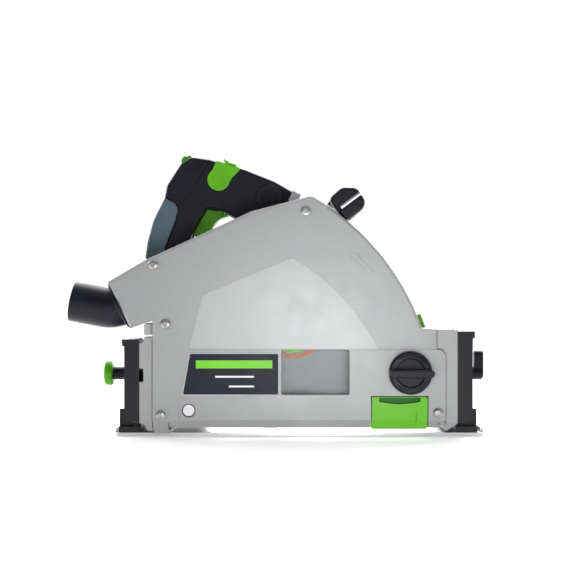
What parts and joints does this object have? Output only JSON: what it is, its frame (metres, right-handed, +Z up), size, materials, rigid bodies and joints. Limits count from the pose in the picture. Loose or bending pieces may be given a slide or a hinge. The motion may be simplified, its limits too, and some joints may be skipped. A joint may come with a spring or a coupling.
{
  "type": "track plunge saw",
  "caption": "Track-guided plunge circular saw: tilting guard head on a base plate, plunging motor and handle unit, blade, depth stop, splinter guard and swivelling dust port.",
  "frame": {"origin": "middle of the base plate's sole, on the face that rests on the work", "axes": "+X the cutting direction, towards the front knob; -Y the blade side; +Z up, away from the work"},
  "size_m": [0.3783, 0.1861, 0.2551],
  "materials": {
    "cast_black": "black satin powder coat",
    "plate_metal": "milled and anodised aluminium",
    "silver_paint": "fine satin silver paint",
    "black_plastic": "fine-grained black glass-filled plastic",
    "green_plastic": "smooth bright green plastic",
    "soft_grip": "soft grey-blue moulded grip",
    "steel": "ground steel",
    "dark_steel": "blackened steel",
    "clear": "clear moulded window",
    "label": "dark navy printed plate",
    "copper": "wound copper",
    "grey_plastic": "light grey plastic"
  },
  "bodies": {
    "base": {"base_plate": "plate_metal", "front_segment": "cast_black", "rear_segment": "cast_black", "segment_screws": "steel", "angle_scale": "plate_metal"},
    "front_cam": {"front_guide_cam": "green_plastic"},
    "rear_cam": {"rear_guide_cam": "green_plastic"},
    "head": {"guard_cover": "silver_paint", "guard_back": "silver_paint", "duct_housing": "silver_paint", "duct_collar": "black_plastic", "front_carrier": "silver_paint", "rear_carrier": "silver_paint", "pivot_pin": "steel", "pivot_bracket": "cast_black", "plunge_spring": "dark_steel", "front_handle": "black_plastic", "hex_key": "steel", "sight_window": "clear", "label_plate": "label", "rear_post": "grey_plastic", "cover_screws": "dark_steel", "depth_scale": "plate_metal"},
    "port": {"dust_port": "black_plastic"},
    "stop": {"depth_stop": "green_plastic"},
    "splinter": {"splinter_guard": "green_plastic"},
    "knob": {"splinter_knob": "black_plastic"},
    "rear_clamp": {"rear_clamp_knob": "green_plastic"},
    "front_clamp": {"front_clamp_lever": "black_plastic"},
    "saw_unit": {"gear_housing": "cast_black", "gear_cover": "cast_black", "motor_housing": "black_plastic", "motor_end_cap": "black_plastic", "stator": "copper", "brush_holders": "grey_plastic", "motor_bearings": "steel", "spindle_bearings": "steel", "saw_unit_screws": "dark_steel", "handle_left": "black_plastic", "handle_right": "black_plastic", "handle_rubber": "soft_grip", "switch_block": "grey_plastic", "electronics_module": "grey_plastic", "power_inlet": "black_plastic", "stop_finger": "steel"},
    "dial": {"speed_dial": "green_plastic"},
    "blade": {"saw_blade": "steel", "inner_flange": "steel", "outer_flange": "steel", "spindle": "steel", "blade_screw": "dark_steel", "spindle_gear": "steel"},
    "armature": {"motor_shaft": "steel", "armature_core": "dark_steel", "commutator": "copper", "fan": "black_plastic"},
    "knife": {"riving_knife": "steel"},
    "trigger": {"trigger": "green_plastic"},
    "release": {"release_slide": "green_plastic"},
    "lever": {"lock_lever": "green_plastic"}
  },
  "joints": [
    {"name": "bevel_tilt", "type": "hinge", "parent": "base", "child": "head", "pos_m": [0, -0.0775, 0], "axis": [1, 0, 0], "range_deg": [-1, 47]},
    {"name": "plunge", "type": "hinge", "parent": "head", "child": "saw_unit", "pos_m": [-0.0975, -0.0475, 0.025], "axis": [0, 1, 0], "range_deg": [0, 40.4], "stiffness_Nm_per_rad": 6, "springref_deg": -51.57},
    {"name": "blade_spin", "type": "hinge", "parent": "saw_unit", "child": "blade", "pos_m": [-0.00611, -0.0775, 0.10277], "axis": [0, 1, 0], "continuous": true},
    {"name": "motor_spin", "type": "hinge", "parent": "saw_unit", "child": "armature", "pos_m": [-0.02037, 0.0125, 0.11953], "axis": [0, 1, 0], "continuous": true},
    {"name": "knife_swing", "type": "hinge", "parent": "saw_unit", "child": "knife", "pos_m": [-0.00611, -0.0715, 0.10277], "axis": [0, 1, 0], "range_deg": [0, 25], "stiffness_Nm_per_rad": 0.5, "springref_deg": -22.92},
    {"name": "trigger_pull", "type": "hinge", "parent": "saw_unit", "child": "trigger", "pos_m": [-0.072, -0.0295, 0.2046], "axis": [0, 1, 0], "range_deg": [0, 7], "stiffness_Nm_per_rad": 0.6, "springref_deg": -8.59},
    {"name": "release_push", "type": "slide", "parent": "saw_unit", "child": "release", "axis": [1, 0, 0], "range_m": [0, 0.004], "stiffness_N_per_m": 400, "springref_m": -0.002},
    {"name": "lock_lever_turn", "type": "hinge", "parent": "saw_unit", "child": "lever", "pos_m": [-0.0737, -0.0295, 0.2316], "axis": [0, -1, 0], "range_deg": [0, 25], "stiffness_Nm_per_rad": 0.4, "springref_deg": -17.19},
    {"name": "speed_dial_turn", "type": "hinge", "parent": "saw_unit", "child": "dial", "pos_m": [-0.00937, 0.0675, 0.13858], "axis": [0, 1, 0], "range_deg": [0, 270]},
    {"name": "depth_stop_slide", "type": "hinge", "parent": "head", "child": "stop", "pos_m": [-0.0975, -0.0575, 0.025], "axis": [0, 1, 0], "range_deg": [-36, 0]},
    {"name": "splinter_slide", "type": "slide", "parent": "head", "child": "splinter", "axis": [0, 0, -1], "range_m": [0, 0.007]},
    {"name": "splinter_knob_turn", "type": "hinge", "parent": "head", "child": "knob", "pos_m": [0.0965, -0.0975, 0.0583], "axis": [0, -1, 0], "range_deg": [0, 90]},
    {"name": "rear_clamp_turn", "type": "hinge", "parent": "head", "child": "rear_clamp", "pos_m": [-0.15, -0.0284, 0.05266], "axis": [-1, 0, 0], "range_deg": [0, 180]},
    {"name": "front_clamp_turn", "type": "hinge", "parent": "head", "child": "front_clamp", "pos_m": [0.15, -0.0284, 0.05266], "axis": [1, 0, 0], "range_deg": [-90, 90]},
    {"name": "port_swivel", "type": "hinge", "parent": "head", "child": "port", "pos_m": [-0.1586, -0.07, 0.1175], "axis": [-0.9, 0, -0.436], "range_deg": [-90, 90]},
    {"name": "front_cam_turn", "type": "hinge", "parent": "base", "child": "front_cam", "pos_m": [0.154, 0.05295, 0.01], "axis": [0, 0, 1], "range_deg": [-180, 0]},
    {"name": "rear_cam_turn", "type": "hinge", "parent": "base", "child": "rear_cam", "pos_m": [-0.154, 0.05295, 0.01], "axis": [0, 0, 1], "range_deg": [-180, 0]}
  ],
  "couplings": [
    {"joint": "motor_spin", "follows": "blade_spin", "ratio": -2.6667}
  ]
}
